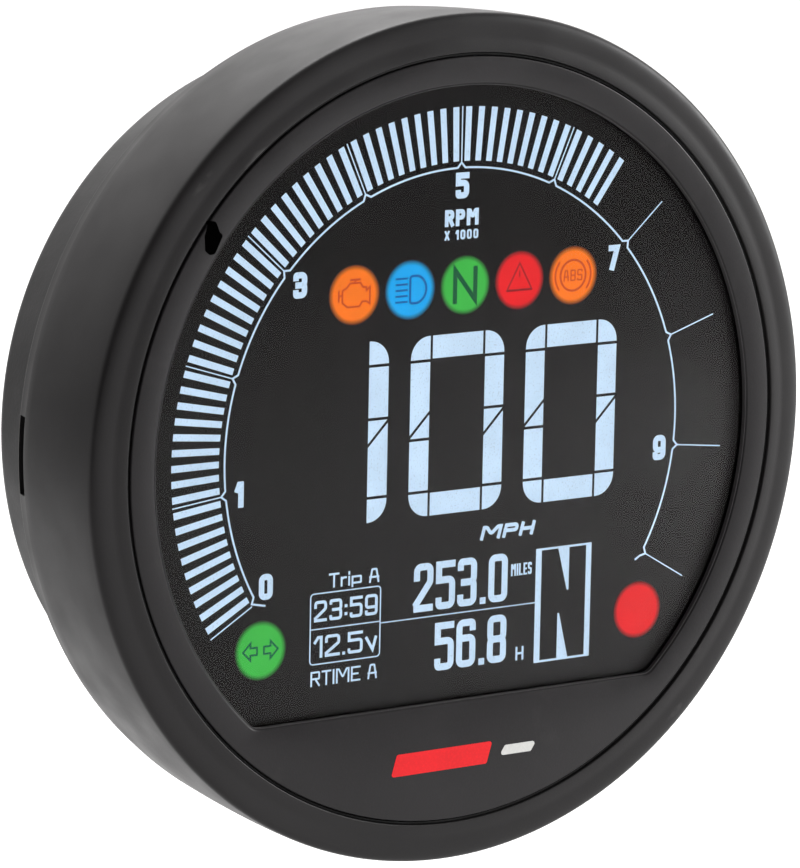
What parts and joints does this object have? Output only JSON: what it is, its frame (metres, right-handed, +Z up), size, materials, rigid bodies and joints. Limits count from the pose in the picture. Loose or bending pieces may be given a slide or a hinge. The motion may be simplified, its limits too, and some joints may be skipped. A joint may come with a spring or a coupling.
{
  "type": "motorcycle instrument cluster",
  "caption": "Round digital motorcycle gauge: black satin bezel, flat-bottomed display window with bar tachometer, speed digits and warning lamps, stepped rear case with rear pad.",
  "frame": {"origin": "centre of the flat mounting pad on the back of the case, midway between its two threaded inserts", "axes": "the dial faces -Y, +Y points out of the back along the gauge's axis, +Z is up on the dial and +X is to the dial's right as a rider sees it"},
  "size_m": [0.114, 0.049, 0.114],
  "materials": {
    "bezel": "black anodised, fine bead-blasted satin",
    "face_plate": "dark warm grey, fine satin grain",
    "sensor_window": "gloss black",
    "rubber": "matt black",
    "lens": "clear, anti-glare",
    "display_glass": "near black, dark when unlit",
    "display_segments": "lit pale blue-white segments",
    "case_plastic": "black, fine spark-eroded texture",
    "socket_plastic": "black, smooth",
    "vent_plastic": "dark grey, smooth",
    "diffuser": "white, translucent",
    "reflector": "bright white",
    "silicone": "grey silicone",
    "board": "green solder resist",
    "chip": "moulded black",
    "led_white": "white package",
    "tin": "tin plated",
    "brass": "knurled, machined face",
    "screw_steel": "zinc plated",
    "button_rubber": "matt black",
    "lamp_orange": "lit orange",
    "lamp_blue": "lit blue",
    "lamp_green": "lit green",
    "lamp_red": "lit red"
  },
  "bodies": {
    "housing": {"bezel_ring": "bezel", "lens_gasket": "rubber", "face_plate": "face_plate", "sensor_window": "sensor_window", "lens": "lens", "lcd_front_glass": "display_glass", "lcd_rear_glass": "display_glass", "display_frame": "case_plastic", "diffuser": "diffuser", "reflector_housing": "reflector", "contact_strip": "silicone", "main_board": "board", "light_sensor": "chip", "microcontroller": "chip", "voltage_regulator": "chip", "power_capacitor": "chip", "tact_switch_left": "chip", "tact_switch_right": "chip", "rear_case": "case_plastic", "case_seal": "rubber", "vent_plug": "vent_plastic", "connector_socket": "socket_plastic", "connector_seal": "rubber", "contact_block": "tin", "mount_insert_left": "brass", "mount_insert_right": "brass", "connector_screw_left": "screw_steel", "connector_screw_right": "screw_steel", "button_seal_left": "rubber", "button_seal_right": "rubber", "lamp_lens_engine": "lamp_orange", "lamp_led_engine": "led_white", "lamp_lens_high_beam": "lamp_blue", "lamp_led_high_beam": "led_white", "lamp_lens_neutral": "lamp_green", "lamp_led_neutral": "led_white", "lamp_lens_warning": "lamp_red", "lamp_led_warning": "led_white", "lamp_lens_brake": "lamp_orange", "lamp_led_brake": "led_white", "lamp_lens_turn_signal": "lamp_green", "lamp_led_turn_signal": "led_white", "lamp_lens_alarm": "lamp_red", "lamp_led_alarm": "led_white", "backlight_led_1": "led_white", "case_screw_1": "screw_steel", "backlight_led_2": "led_white", "case_screw_2": "screw_steel", "backlight_led_3": "led_white", "case_screw_3": "screw_steel", "backlight_led_4": "led_white", "case_screw_4": "screw_steel", "board_screw_1": "screw_steel", "board_screw_2": "screw_steel", "board_screw_3": "screw_steel"},
    "left_button": {"button_left": "button_rubber", "switch_plunger_left": "silicone"},
    "right_button": {"button_right": "button_rubber", "switch_plunger_right": "silicone"}
  },
  "joints": [
    {"name": "left_button_press", "type": "slide", "parent": "housing", "child": "left_button", "axis": [0, -1, 0], "range_m": [0, 0.0008], "stiffness_N_per_m": 2500},
    {"name": "right_button_press", "type": "slide", "parent": "housing", "child": "right_button", "axis": [0, -1, 0], "range_m": [0, 0.0008], "stiffness_N_per_m": 2500}
  ]
}
